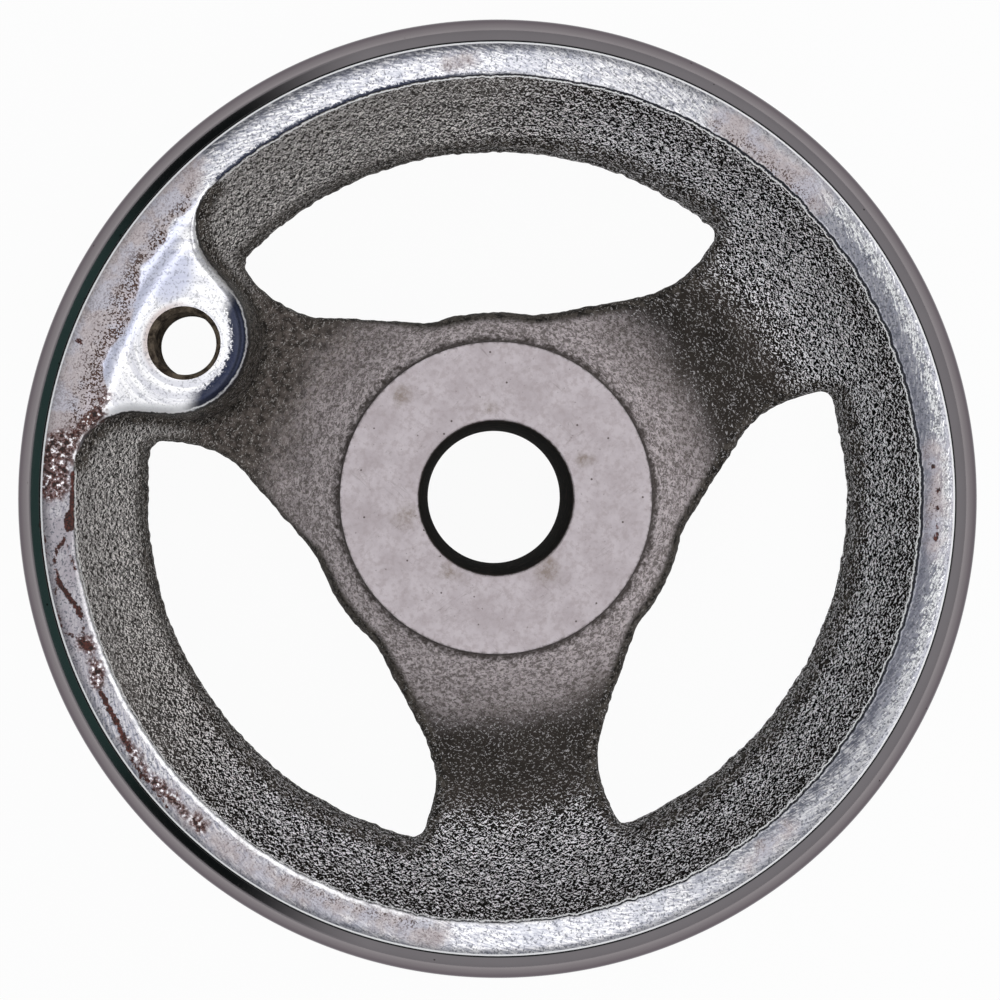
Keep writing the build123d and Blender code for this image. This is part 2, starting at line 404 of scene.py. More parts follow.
class PadSide:
    """Section of the pad's side over a web that lies some height below its face."""

    def __init__(self, height):
        lean = radians(PAD_DRAFT)
        corner = tan((pi / 2 - lean) / 2)
        most = PAD_BLEND_SHARE * np.maximum(height, 0.02)
        self.height, self.lean = height, lean
        self.top, self.base = np.minimum(PAD_EDGE_RADIUS, most), np.minimum(PAD_BASE_RADIUS, most)
        self.top_start = -self.top * corner
        self.wall_start = self.top_start + self.top * cos(lean)
        self.end = height * tan(lean) + self.base * corner
        self.wall_end = self.end - self.base * cos(lean)

    def rise(self, s):
        """Height above the web at a distance outside the pad's outline."""
        across = np.clip(s - self.top_start, 0, self.top)
        crown = self.height - self.top + np.sqrt(self.top**2 - across**2)
        wall = self.height - s / tan(self.lean)
        across = np.clip(self.end - s, 0, self.base)
        foot = self.base - np.sqrt(self.base**2 - across**2)
        side = np.where(s < self.wall_start, crown, np.where(s < self.wall_end, wall, foot))
        return np.where(self.height > 0, side, 0)

    def rows(self):
        """Distances outside the outline of the rows that show the section."""
        turns = np.linspace(90, PAD_DRAFT, 7)
        crown = [self.top_start + self.top * cos(radians(turn)) for turn in turns]
        shares = np.linspace(0, 1, 9)[1:-1]
        wall = [self.wall_start + (self.wall_end - self.wall_start) * share for share in shares]
        foot = [self.end - self.base * cos(radians(turn)) for turn in turns[::-1]]
        return crown + wall + foot


# Beside the ring the cast skin ends in a thin raised lip, then a shallow cut.
LIP_AT = (-0.45, -0.19, 0.0, 0.15, 0.34, 0.5)
LIP_RISE = (0.0, 0.05, -0.02, -0.06, 0.0, 0.0)


# The back of the pad's boss: how far it reaches beyond the pad's outline, how steep its side
# is, and the height over which it runs into the web.
BOSS_OVERHANG, BOSS_SLOPE, BOSS_BLEND = 0.8, 1.4, 0.9


def front_height(x, y):
    """Height of the front over plan points, with the pad and the ring."""
    r = np.hypot(x, y)
    past_edge, off_pad = ring_distance(x, y), pad_distance(x, y)
    near_ring = smooth((r - RING_INNER) / 4 + 1)
    web = np.interp(r + (past_edge + RING_INNER - r) * near_ring, *FRONT)
    pad = PadSide(pad_top(r) - web).rise(off_pad)
    lip = np.interp(past_edge, LIP_AT, LIP_RISE) * smooth(off_pad)
    return np.where(past_edge > -1e-6, ring_height(r), web + pad) + lip


def rear_height(x, y):
    """Height of the rear over plan points, with the back of the pad's boss."""
    r = np.hypot(x, y)
    web = np.interp(r, *REAR)
    side = PAD_REAR + BOSS_SLOPE * np.maximum(pad_distance(x, y) - BOSS_OVERHANG, 0)
    nearer = np.clip(0.5 + 0.5 * (web - side) / BOSS_BLEND, 0, 1)
    boss = web + (side - web) * nearer - BOSS_BLEND * nearer * (1 - nearer)
    return np.where(r > BOWL_CENTRE[0], np.minimum(web, boss), web)


# --- The mesh -----------------------------------------------------------------------------------

SAND_CAST, GROUND, POLISHED, TURNED_FACE, BORED = range(5)
SHARP_ANGLE = 28.0  # edges that turn by more than this show as sharp
SIDE_CLEAR = 0.3  # kept free of loose points beside the pad's side
# Spacing of the mesh's points along edges and over faces.
WINDOW_SPACING = 0.34
HUB_SPACING = 0.45
HOLE_SPACING = 0.35
RIM_SPACING = 0.75
FINE_SPACING = 0.42


def at_height(plan, z):
    """Points over plan points, at one height or at one each."""
    return np.column_stack((plan, np.broadcast_to(z, len(plan))))


def circle(radius, spacing, centre=ORIGIN):
    """Evenly spaced plan points round a circle."""
    angles = np.arange(round(2 * pi * radius / spacing))
    angles = angles * 2 * pi / len(angles)
    return np.stack((np.cos(angles), np.sin(angles)), 1) * radius + centre


def grid(spacing):
    """Plan points in rows over the whole wheel, each row shifted by half a space."""
    row_step = spacing * sqrt(3) / 2
    across = np.arange(-WHEEL_RADIUS, WHEEL_RADIUS, spacing)
    up = np.arange(-WHEEL_RADIUS, WHEEL_RADIUS, row_step)
    x, y = np.meshgrid(across, up)
    x[1::2] += spacing / 2
    return np.stack((x.ravel(), y.ravel()), 1)


class Casting:
    """Collects the faces of the casting, in patches that share their border points."""

    def __init__(self):
        self.points, self.faces, self.finishes = [], [], []

    def add(self, points, faces, finishes):
        start = sum(len(patch) for patch in self.points)
        self.points.append(points)
        self.faces += (np.asarray(faces) + start).tolist()
        self.finishes += list(np.broadcast_to(finishes, len(faces)))

    def strip(self, rows, finish):
        """Quads between closed rows that have the same number of points."""
        rows = np.asarray(rows)
        count = rows.shape[1]
        here = np.arange(count)
        after = (here + 1) % count
        faces = [
            np.stack((here + low, after + low, after + low + count, here + low + count), 1)
            for low in range(0, (len(rows) - 1) * count, count)
        ]
        self.add(rows.reshape(-1, 3), np.concatenate(faces), finish)


class Sheet:
    """One face of the casting over its plan: edge loops and loose points, joined by triangles.

    It has its height over plan points, its outer radius, that of the handle's hole, and the
    radii that get rows of their own.
    """

    def __init__(self, height, reach, hole_radius, radii):
        self.height, self.reach, self.hole_radius, self.radii = height, reach, hole_radius, radii
        self.plan, self.z, self.edges, self.openings = [], [], [], []
        self.count = 0

    def scatter(self, plan, z=None):
        self.plan.append(plan)
        self.z.append(self.height(*plan.T) if z is None else np.broadcast_to(z, len(plan)))
        numbers = np.arange(len(plan)) + self.count
        self.count += len(plan)
        return numbers

    def loop(self, plan, z=None, opening=False):
        """A closed edge. Triangles with all their corners on an opening's edge are left out."""
        numbers = self.scatter(plan, z)
        self.edges += np.stack((numbers, np.roll(numbers, -1)), 1).tolist()
        if opening:
            self.openings.append(numbers)
        return at_height(plan, self.z[-1])

    def build(self, casting, finish_at):
        plan, z = np.concatenate(self.plan), np.concatenate(self.z)
        flat = [Vector(point) for point in plan]
        found = delaunay_2d_cdt(flat, self.edges, [], 0, 1e-6, True)
        if len(found[0]) != len(plan):
            raise ValueError(f"{len(plan)} points became {len(found[0])}: loops cross or touch")
        own = np.array([ids[0] for ids in found[3]])
        faces = own[np.array(found[2])]
        for numbers in self.openings:
            faces = faces[~np.isin(faces, numbers).all(1)]
        centre = plan[faces].mean(1)
        casting.add(at_height(plan, z), faces, finish_at(*centre.T))


# Angles and radii of the small nubs of flash left in the windows' corners.
FLASH_NUBS = ((259.3, 46.1), (342.9, 45.8))
NUB_HEIGHT, NUB_REACH = 0.75, 0.9
# The ridge where the moulds met. Its width is a share of the window wall's height.
RIDGE_HEIGHT, RIDGE_HALF_WIDTH = 0.16, 0.13
# Waviness of the windows' edges and of the cast skin: height, period and seed.
WINDOW_WAVES = ((0.16, 0.85, 11.0), (0.2, 5.0, 17.0))
SKIN_LUMPS = ((0.10, 6.0, 21.0), (0.07, 2.4, 31.0), (0.06, 1.0, 41.0))


def window_rows():
    """For each window, rows of plan points from its edge out to where the rounding ends.

    Each row comes with how far the rounding falls there, and the rows with the way outwards.
    """
    points, normals = stations(WINDOW, WINDOW_SPACING, closed=True)
    windows = []
    for index in range(SPOKE_COUNT):
        turn, shift = core_place(index)
        edge = turn_plan(points, turn) + shift
        outward = turn_plan(normals, turn)
        ragged = waves(*edge.T, 0, WINDOW_WAVES)
        for angle, radius in FLASH_NUBS:
            from_nub = np.hypot(*(edge - on_circle(ORIGIN, radius, angle)).T)
            ragged -= NUB_HEIGHT * smooth(1 - from_nub / NUB_REACH)
        rows = []
        for turn in np.radians(np.linspace(0, 90, 6)):
            offset = EDGE_RADIUS * (1 - cos(turn)) + ragged * cos(turn)
            rows.append((edge + outward * offset[:, None], EDGE_RADIUS * (1 - sin(turn))))
        windows.append((rows, outward))
    return windows


def add_windows(sheet, windows, side):
    """Put the windows' rounded edges in a sheet. Side is -1 where they fall and 1 where they rise."""
    edges = []
    for rows, _ in windows:
        (edge, fall), *rest = rows
        edges.append(sheet.loop(edge, sheet.height(*edge.T) + side * fall, opening=True))
        for plan, fall in rest:
            sheet.scatter(plan, sheet.height(*plan.T) + side * fall)
    return edges


def fill(sheet, spacing, region, clear=0.35):
    """Scatter a grid of points over a region, clear of the radii and outlines that have rows."""
    x, y = grid(spacing).T
    r = np.hypot(x, y)
    keep = region(x, y) & (window_distance(x, y) > EDGE_RADIUS + clear)
    keep &= (r > BORE_MOUTH + clear) & (r < sheet.reach - clear)
    for radius in sheet.radii:
        keep &= abs(r - radius) > clear
    keep &= away(x, y, HOLE_CENTRE) > sheet.hole_radius + clear
    sheet.scatter(np.stack((x[keep], y[keep]), 1))


def add_ring_rows(sheet):
    """Rows along the ring's inner edge. Those on the cast side stop where the pad begins."""
    around = circle(RING_INNER, 0.4)
    edge = RING_INNER - ring_distance(*around.T)
    for offset in LIP_AT:
        row = around * ((edge + offset) / RING_INNER)[:, None]
        if offset >= 0:
            sheet.loop(row)
            continue
        beside = np.flatnonzero(pad_distance(*row.T) > 1.2)
        numbers = dict(zip(beside, sheet.scatter(row[beside])))
        ends = [(numbers[i], numbers.get((i + 1) % len(row))) for i in beside]
        sheet.edges += [(start, end) for start, end in ends if end is not None]


def pad_side(r):
    """Section of the pad's side at radii of the wheel."""
    return PadSide(pad_top(r) - np.interp(r, *FRONT))


def add_pad_rows(sheet):
    """Rows down the pad's side, where it stands clear of the windows' rounded edges."""
    points, normals = stations(PAD, FINE_SPACING, closed=False)
    for offset in pad_side(np.hypot(*points.T)).rows():
        row = points + normals * offset[:, None]
        clear = ring_distance(*row.T) < np.where(offset < 1.1, -0.12, LIP_AT[0] - 0.15)
        sheet.scatter(row[clear & (window_distance(*row.T) > EDGE_RADIUS + 0.2)])


def off_pad_side(x, y):
    """Whether plan points lie inside the ring, and clear of the pad's side."""
    section, off_pad = pad_side(np.hypot(x, y)), pad_distance(x, y)
    on_side = (off_pad > section.top_start - SIDE_CLEAR) & (off_pad < section.end + SIDE_CLEAR)
    return (ring_distance(x, y) < LIP_AT[0] - 0.25) & ~on_side


def on_cast(x, y):
    return off_pad_side(x, y) & (pad_distance(x, y) > 0) & (np.hypot(x, y) > HUB_SKIRT_FOOT[0])


def on_pad(x, y):
    return off_pad_side(x, y) & (pad_distance(x, y) < 0)


def on_ring(x, y):
    return (ring_distance(x, y) > LIP_AT[-1] + 0.2) & (np.hypot(x, y) < RING_OUTER - 0.7)


def front_finish(x, y):
    """The finish's number at plan points of the front."""
    cut = (ring_distance(x, y) > 0) | (pad_distance(x, y) < 0.1)
    return np.where(np.hypot(x, y) < HUB_FACE, TURNED_FACE, np.where(cut, GROUND, SAND_CAST))


def rear_finish(x, y):
    """The finish's number at plan points of the rear."""
    r = np.hypot(x, y)
    return np.where(r > POLISH_REAR, POLISHED, np.where(r < HUB_REAR, TURNED_FACE, SAND_CAST))


def front_sheet(casting, windows):
    """The front, from the bore's mouth to the ring's outer edge."""
    sheet = Sheet(front_height, RING_OUTER, HOLE_MOUTH, (HUB_FACE, HUB_SKIRT_FOOT[0]))
    bore = sheet.loop(circle(BORE_MOUTH, HUB_SPACING), opening=True)
    hole = sheet.loop(circle(HOLE_MOUTH, HOLE_SPACING, HOLE_CENTRE), opening=True)
    outer = sheet.loop(circle(RING_OUTER, RIM_SPACING), ring_height(RING_OUTER))
    for radius in sheet.radii:
        sheet.loop(circle(radius, HUB_SPACING))
    # Two more rows lie close inside the outer edge, where the ring rolls over.
    for inset in (0.16, 0.42):
        sheet.loop(circle(RING_OUTER - inset, 0.6))
    edges = add_windows(sheet, windows, -1)
    add_ring_rows(sheet)
    add_pad_rows(sheet)
    fill(sheet, FINE_SPACING, on_cast)
    fill(sheet, 0.5, on_pad)
    fill(sheet, FINE_SPACING, on_ring)
    fill(sheet, 1.1, lambda x, y: np.hypot(x, y) < HUB_FACE)
    sheet.build(casting, front_finish)
    return bore, hole, outer, edges


def rear_sheet(casting, windows):
    """The rear, from the bore's mouth to the lowest point of the rim's round."""
    # Rows up the hub's barrel, which is too steep for scattered points.
    run = np.concatenate(([0], np.cumsum(np.hypot(*np.diff(REAR, axis=1)))))
    start, end = np.interp((HUB_REAR, HUB_REAR + HUB_REAR_FILLET + 1), REAR[0], run)
    barrel = np.interp(np.arange(start, end, 0.9), run, REAR[0])
    radii = (HUB_REAR - HUB_REAR_CHAMFER, *barrel)
    sheet = Sheet(rear_height, RIM_CENTRE[0], HOLE_STEP_RADIUS, radii)
    # The edges that walls run to have as many points as the front's.
    bore = sheet.loop(circle(BORE_MOUTH, HUB_SPACING), opening=True)
    step_spacing = HOLE_SPACING * HOLE_STEP_RADIUS / HOLE_MOUTH
    hole = sheet.loop(circle(HOLE_STEP_RADIUS, step_spacing, HOLE_CENTRE), opening=True)
    outer = sheet.loop(circle(RIM_CENTRE[0], RIM_SPACING * RIM_CENTRE[0] / RING_OUTER))
    edges = add_windows(sheet, windows, 1)
    for radius in radii:
        sheet.loop(circle(radius, 0.8))
    fill(sheet, 0.85, lambda x, y: np.hypot(x, y) > barrel[-1])
    fill(sheet, 1.4, lambda x, y: np.hypot(x, y) < HUB_REAR - HUB_REAR_CHAMFER)
    sheet.build(casting, rear_finish)
    return bore, hole, outer, edges


def add_rim(casting, front, rear):
    """Round the outside of the rim, from the ring to the rear."""
    ring_outer = (RING_OUTER, ring_height(RING_OUTER))
    section = Arc(RIM_CENTRE, RIM_ROUND, direction(RIM_CENTRE, ring_outer), -90, left=False)
    around = front[:, :2] / RING_OUTER
    rows = np.concatenate((section.points(0.2)[1:3], section.points(0.8)[2:-1]))
    casting.strip([front, *(at_height(around * r, z) for r, z in rows), rear], POLISHED)


def add_window_wall(casting, front, rear, outward):
    """Down a window's wall, with a thin ridge half-way where the two moulds met."""
    shares = np.linspace(0, 1, 9)[:, None, None]
    ridge = RIDGE_HEIGHT * np.clip(1 - abs(shares - 0.5) / RIDGE_HALF_WIDTH, 0, 1)
    rows = front * (1 - shares) + rear * shares + at_height(-outward, 0) * ridge
    casting.strip(rows, SAND_CAST)


def add_turned_wall(casting, front, rear, centre, section, mouth=BORED):
    """Rows between two openings' edges, at the radii and heights of a section."""
    spokes = front[:, :2] - centre
    spokes = spokes / np.hypot(*spokes.T)[:, None]
    rows = [at_height(spokes * r + centre, z) for r, z in section]
    casting.strip([front, rows[0]], mouth)
    casting.strip(rows, BORED)
    casting.strip([rows[-1], rear], mouth)


def build_casting():
    """All faces of the casting, closed."""
    casting = Casting()
    windows = window_rows()
    front_bore, front_hole, front_outer, front_edges = front_sheet(casting, windows)
    rear_bore, rear_hole, rear_outer, rear_edges = rear_sheet(casting, windows)
    add_rim(casting, front_outer, rear_outer)
    for front, rear, (_, outward) in zip(front_edges, rear_edges, windows):
        add_window_wall(casting, front, rear, outward)

    depth = HUB_LENGTH - (BORE_MOUTH - BORE_RADIUS)
    bore = [(BORE_RADIUS, z) for z in np.linspace(depth, HUB_LENGTH - depth, 24)]
    add_turned_wall(casting, front_bore, rear_bore, ORIGIN, bore, TURNED_FACE)
    step = PAD_FACE - HOLE_DEPTH
    hole = [(HOLE_RADIUS, z) for z in np.linspace(PAD_FACE - HOLE_MOUTH + HOLE_RADIUS, step, 6)]
    hole += [(HOLE_STEP_RADIUS, z) for z in np.linspace(step, PAD_REAR + 0.8, 7)]
    add_turned_wall(casting, front_hole, rear_hole, HOLE_CENTRE, hole)
    return casting


def roughen(shape):
    """Raise and sink the sand-cast skin in soft lumps, fading out towards machined surfaces."""
    shape.normal_update()
    share = np.array([all(face.material_index == 0 for face in v.link_faces) for v in shape.verts])
    share = share.astype(float)
    start, end = np.array([[v.index for v in edge.verts] for edge in shape.edges]).T
    for _ in range(4):
        lowest = share.copy()
        np.minimum.at(lowest, start, share[end])
        np.minimum.at(lowest, end, share[start])
        share = (share + lowest) / 2
    place = np.array([v.co for v in shape.verts])
    for vertex, lift in zip(shape.verts, share * waves(*place.T, SKIN_LUMPS)):
        vertex.co += vertex.normal * lift


def write_mesh(casting):
    """The casting as one closed mesh, in metres."""
    mesh = bpy.data.meshes.new("handwheel_casting")
    mesh.from_pydata(np.concatenate(casting.points).tolist(), [], casting.faces)
    mesh.polygons.foreach_set("material_index", np.array(casting.finishes, dtype=np.int32))
    shape = bmesh.new()
    shape.from_mesh(mesh)
    bmesh.ops.remove_doubles(shape, verts=shape.verts, dist=1e-3)
    bmesh.ops.recalc_face_normals(shape, faces=shape.faces)
    open_edges = [edge for edge in shape.edges if len(edge.link_faces) != 2]
    if open_edges:
        raise ValueError(f"{len(open_edges)} edges are open, near {open_edges[0].verts[0].co}")
    roughen(shape)
    shape.to_mesh(mesh)
    shape.free()
    mesh.transform(Matrix.Scale(MM, 4))
    return mesh


# --- Wear: where the ring and the hub's face are rusted and stained ------------------------------

SEAM_ANGLE = 27.0  # where the belt marks' pattern starts and ends, under the rust
BELT_SLANT = 0.30

# Strokes of rust on the ring: half of the width, then angles and radii along the stroke.
RUST = (
    (0.36, (23.0, 53.8), (26.0, 53.7), (28.2, 53.8)),
    (0.66, (28.9, 54.1), (30.2, 54.35)),
    (0.13, (30.9, 54.8), (32.2, 55.0), (34.7, 54.5), (36.3, 54.1)),
    (0.2, (31.8, 54.9), (33.0, 56.1), (34.5, 56.6), (35.9, 56.6)),
    (0.3, (35.9, 56.6), (37.5, 56.4), (39.2, 55.7), (40.2, 55.3), (42.3, 54.8)),
    (0.13, (32.5, 54.8), (34.8, 54.3), (36.1, 54.1)),
    (0.13, (39.9, 55.6), (41.1, 54.6), (43.5, 54.8), (44.8, 55.2)),
    (0.18, (43.7, 57.1), (44.5, 56.3), (45.2, 55.7)),
    (0.55, (45.7, 55.5), (46.5, 55.0)),
    (0.38, (52.5, 55.8), (54.5, 55.8), (56.7, 55.8), (58.9, 56.1), (60.9, 56.4)),
    (0.22, (60.9, 56.5), (63.0, 57.0), (65.4, 56.8), (67.9, 57.0), (69.5, 57.2)),
    (0.12, (59.0, 57.4), (59.0, 56.0)),
    (0.12, (60.5, 57.4), (60.6, 56.2)),
    (0.12, (64.6, 57.4), (63.4, 56.6)),
    (0.25, (5.7, 56.9), (5.9, 56.2)),
    (0.14, (-11.6, 53.5), (-10.6, 52.9), (-8.6, 53.5)),
    (0.12, (30.0, 57.7), (44.0, 57.7)),
    (0.24, (-149.7, 55.2), (-149.4, 55.3)),
    (0.20, (-152.8, 55.7), (-152.4, 55.8)),
    (0.24, (-155.2, 55.6), (-154.8, 55.6)),
    (0.28, (-157.4, 55.8), (-157.0, 55.8)),
    (0.32, (-159.0, 55.6), (-158.4, 55.7)),
)
# Rust broken into flecks and pits, given the same way.
LACE = (
    (0.8, (11.5, 51.3), (14.6, 51.8), (16.8, 53.3), (18.4, 54.6), (19.8, 55.2)),
    (1.9, (19.6, 56.0), (21.5, 56.4), (23.2, 56.4), (25.0, 56.2)),
    (1.0, (19.0, 54.6), (21.0, 54.5)),
    (0.9, (45.6, 55.4), (46.7, 54.9)),
    (0.75, (59.5, 56.1), (65.4, 56.4), (69.8, 55.9), (74.5, 55.9)),
    (0.85, (48.6, 55.1), (50.0, 55.3), (51.5, 55.6)),
)
# Patches of pitted stain, given the same way.
STAINS = (
    (3.4, (-20.2, 59.3), (-16.6, 56.8), (-14.4, 57.4), (-11.8, 57.0), (-9.4, 56.4), (-7.8, 57.4)),
    (3.4, (-7.8, 57.4), (-5.7, 57.3), (-2.2, 55.8), (0.4, 55.0), (2.0, 55.1), (4.4, 56.0)),
    (3.4, (4.4, 56.0), (6.3, 56.1), (8.0, 56.5), (11.1, 55.3), (12.3, 54.5), (14.7, 55.1), (17.4, 56.6)),
    (1.9, (250.5, 55.8), (265.0, 55.9)),
    (1.1, (77.0, 56.0), (90.0, 55.9), (109.0, 55.8)),
    (0.8, (69.0, 56.0), (74.0, 55.6)),
    (0.9, (199.5, 55.9), (213.0, 55.9)),
    (0.5, (151.0, 55.9), (158.0, 55.8)),
    (0.4, (-60.0, 55.6), (-57.5, 55.4)),
)
# Stains on the hub's face: plan position, and reach.
FACE_STAINS = (
    (9.6, 7.0, 2.6),
    (6.0, -10.0, 2.2),
    (-9.9, 5.2, 2.4),
    (1.2, 11.4, 1.8),
    (17.1, -6.4, 2.2),
    (-8.0, -9.6, 1.8),
)


def inside_strokes(strokes, x, y):
    """How far inside the nearest stroke plan points lie, negative outside them all."""
    inside = np.full(np.shape(x), -9.0)
    for half_width, *path in strokes:
        points = [on_circle(ORIGIN, radius, angle) for angle, radius in path]
        for start, end in zip(points, points[1:]):
            inside = np.maximum(inside, half_width - Straight(start, end).measure(x, y)[0])
    return inside


# --- Materials ----------------------------------------------------------------------------------


class Field:
    """A value that varies over the surface: a node's output, with plain arithmetic."""

    def __init__(self, finish, node, output=0):
        self.finish, self.socket = finish, node.outputs[output]

    def __add__(self, other):
        return self.finish.math("ADD", self, other)

    def __sub__(self, other):
        return self.finish.math("SUBTRACT", self, other)

    def __rsub__(self, other):
        return self.finish.math("SUBTRACT", other, self)

    def __mul__(self, other):
        return self.finish.math("MULTIPLY", self, other)

    def __abs__(self):
        return self.finish.math("ABSOLUTE", self)


class Finish:
    """One material's node tree, and the colour painted so far. Lengths are in millimetres."""

    def __init__(self, name):
        self.material = bpy.data.materials.new(name)
        self.material.use_nodes = True
        self.tree = self.material.node_tree
        self.shader = self.tree.nodes["Principled BSDF"]
        place = Field(self, self.node("ShaderNodeTexCoord"), "Object")
        self.place = self.scaled(place, 1 / MM)
        self.x, self.y, self.z = self.axes(self.place)
        self.radius = self.far_from(0, 0)
        self.angle = self.math("ARCTAN2", self.y, self.x)

    def node(self, kind, inputs=None, **settings):
        """A new node, with its settings, and inputs by name or number."""
        node = self.tree.nodes.new(kind)
        for name, value in settings.items():
            setattr(node, name, value)
        for name, value in (inputs or {}).items():
            self.feed(node.inputs[name], value)
        return node

    def feed(self, socket, value):
        """Link a field to a socket, or set the socket to a plain value."""
        if isinstance(value, Field):
            self.tree.links.new(value.socket, socket)
        else:
            socket.default_value = value

    def math(self, operation, *values):
        inputs = dict(enumerate(values))
        return Field(self, self.node("ShaderNodeMath", inputs, operation=operation))

    def highest(self, first, *others):
        for other in others:
            first = self.math("MAXIMUM", first, other)
        return first

    def scaled(self, vector, scale):
        inputs = {0: vector, "Scale": scale}
        return Field(self, self.node("ShaderNodeVectorMath", inputs, operation="SCALE"))

    def axes(self, vector):
        node = self.node("ShaderNodeSeparateXYZ", {0: vector})
        return (Field(self, node, axis) for axis in range(3))

    def joined(self, *axes):
        return Field(self, self.node("ShaderNodeCombineXYZ", dict(enumerate(axes))))

    def attribute(self, name):
        """One of the distances stored on the mesh."""
        return Field(self, self.node("ShaderNodeAttribute", attribute_name=name), "Fac")

    def far_from(self, x, y):
        """Distance in plan from a point."""
        across, up = self.math("POWER", self.x - x, 2), self.math("POWER", self.y - y, 2)
        return self.math("SQRT", across + up)

    def by_angle(self, seen_angle):
        """Cosine of the angle round the wheel from where the photograph has a given angle."""
        return self.math("COSINE", self.angle + radians(PAD_SPOKE_SEEN_ANGLE - seen_angle))

    def step(self, value, start, end, low=0, high=1):
        """Soft step from low to high as the value goes from start to end."""
        inputs = dict(enumerate((value, start, end, low, high)))
        return Field(self, self.node("ShaderNodeMapRange", inputs, interpolation_type="SMOOTHSTEP"))

    def side(self, seen_angle, start, end, low=0, high=1):
        """Soft step from low to high towards one side of the wheel."""
        return self.step(self.by_angle(seen_angle), start, end, low, high)

    def near(self, value, target, width):
        """1 where the value is at the target, falling to 0 a width away."""
        return self.step(abs(value - target), 0, width, 1, 0)

    def between(self, value, low, high, soft):
        """1 where the value lies between two limits, with soft ends outside them."""
        return self.step(value, low - soft, low) * self.step(value, high + soft, high)

    def noise(self, period, seed=0, detail=3, roughness=0.6, distortion=0, vector=None):
        inputs = {
            "Vector": vector or self.place,
            "W": seed,
            "Scale": 1 / period,
            "Detail": detail,
            "Roughness": roughness,
            "Distortion": distortion,
        }
        return Field(self, self.node("ShaderNodeTexNoise", inputs, noise_dimensions="4D"))

    def shaken(self, value, noise, reach):
        """A value made uneven by a noise, by half of the reach either way."""
        return value + (noise - 0.5) * reach

    def embossed(self, period, detail, distortion, outwards):
        """Noise, and how it rises outwards from the wheel's axis, as if lit from there."""
        first = self.noise(period, 0, detail, 0.6, distortion)
        beside = self.scaled(self.place, outwards)
        return first, first - self.noise(period, 0, detail, 0.6, distortion, beside)

    def pits(self, spacing, size):
        """1 inside small round pits scattered at a spacing."""
        inputs = {"Vector": self.place, "Scale": 1 / spacing}
        node = self.node("ShaderNodeTexVoronoi", inputs, feature="F1")
        return self.step(Field(self, node, "Distance"), size * 0.6, size, 1, 0)

    def blended(self, kind, share, start, end):
        inputs = {"Factor": share, "A": start, "B": end}
        return Field(self, self.node("ShaderNodeMix", inputs, data_type=kind), "Result")

    def mix(self, share, start, end):
        """Blend of two colours."""
        ends = ((*end, 1) if isinstance(end, tuple) else end for end in (start, end))
        return self.blended("RGBA", share, *ends)

    def blend(self, share, start, end):
        """Blend of two numbers."""
        return self.blended("FLOAT", share, start, end)

    def ramp(self, value, start, end, low, high):
        """Colour that goes from low to high as the value goes from start to end."""
        return self.mix(self.step(value, start, end), low, high)

    def paint(self, share, colour):
        """Cover what is painted so far with a colour, as far as the share says."""
        self.colour = self.mix(share, self.colour, colour)

    def shade(self, **inputs):
        """Feed inputs of the shader, named in lower case."""
        for name, value in inputs.items():
            self.feed(self.shader.inputs[SHADER_INPUTS[name]], value)

    def finished(self, roughness, metallic, relief=None, depth=0):
        """The finished material. Relief from 0 to 1 stands for a depth in millimetres."""
        self.shade(colour=self.colour, roughness=roughness, metallic=metallic)
        if relief:
            bump = self.node("ShaderNodeBump", {"Height": relief, "Distance": depth * MM})
            self.shade(normal=Field(self, bump))
        return self.material


SHADER_INPUTS = {
    "colour": "Base Color",
    "roughness": "Roughness",
    "metallic": "Metallic",
    "normal": "Normal",
    "gloss": "Specular IOR Level",
    "gloss_tint": "Specular Tint",
    "glow": "Emission Color",
    "glow_strength": "Emission Strength",
}


def paint_skin(f, blotch, mottle):
    """Cast skin: brown-black on the spokes, lighter on the pad's, with painted shade, painted relief
    shading, and the hub's shoulder painted pale as a highlight.
    """
    f.colour = f.ramp(blotch, 0.35, 0.65, (0.03, 0.024, 0.02), (0.07, 0.058, 0.05))
    # Painted shade: darker over the flat floor of the dish away from the pad, and darkest in the cove by
    # the ring.
    f.paint(f.between(f.radius, 31, 37.5, 4) * f.step(f.x, 14, 4) * 0.6, (0.016, 0.014, 0.012))
    f.paint(f.step(f.radius, 38, 46) * f.step(f.x, 22, 6) * 0.7, (0.01, 0.009, 0.008))
    f.paint(f.step(f.x, 8, 34) * 0.3, (0.21, 0.19, 0.18))
    on_spoke = f.step(f.x, 12, 22) * f.step(abs(f.y), 15, 9)
    f.paint(on_spoke, f.ramp(mottle, 0.36, 0.64, (0.036, 0.03, 0.026), (0.125, 0.105, 0.094)))
    # Painted relief shading of a pebbled skin, strongest on one side of the wheel.
    _, pebble_shading = f.embossed(0.55, 2.5, 0.5, 1.0033)
    high = f.side(150, 0.25, 0.85) * f.step(f.radius, 40, 46)
    f.paint(high * 0.8, f.ramp(pebble_shading, -0.07, 0.07, (0.03, 0.027, 0.025), (0.46, 0.44, 0.425)))
    # The hub's sloping shoulder is painted pale, a painted highlight of its slope, with the pebble
    # shading over it.
    pale = f.ramp(pebble_shading, -0.09, 0.09, (0.22, 0.193, 0.187), (0.74, 0.66, 0.675))
    pale = f.mix(f.step(mottle, 0.52, 0.34) * 0.45, pale, (0.15, 0.125, 0.118))
    shoulder = f.step(f.radius + blotch * 8, 37.2, 27)
    f.paint(shoulder * 0.85, pale)
    return on_spoke, high, shoulder


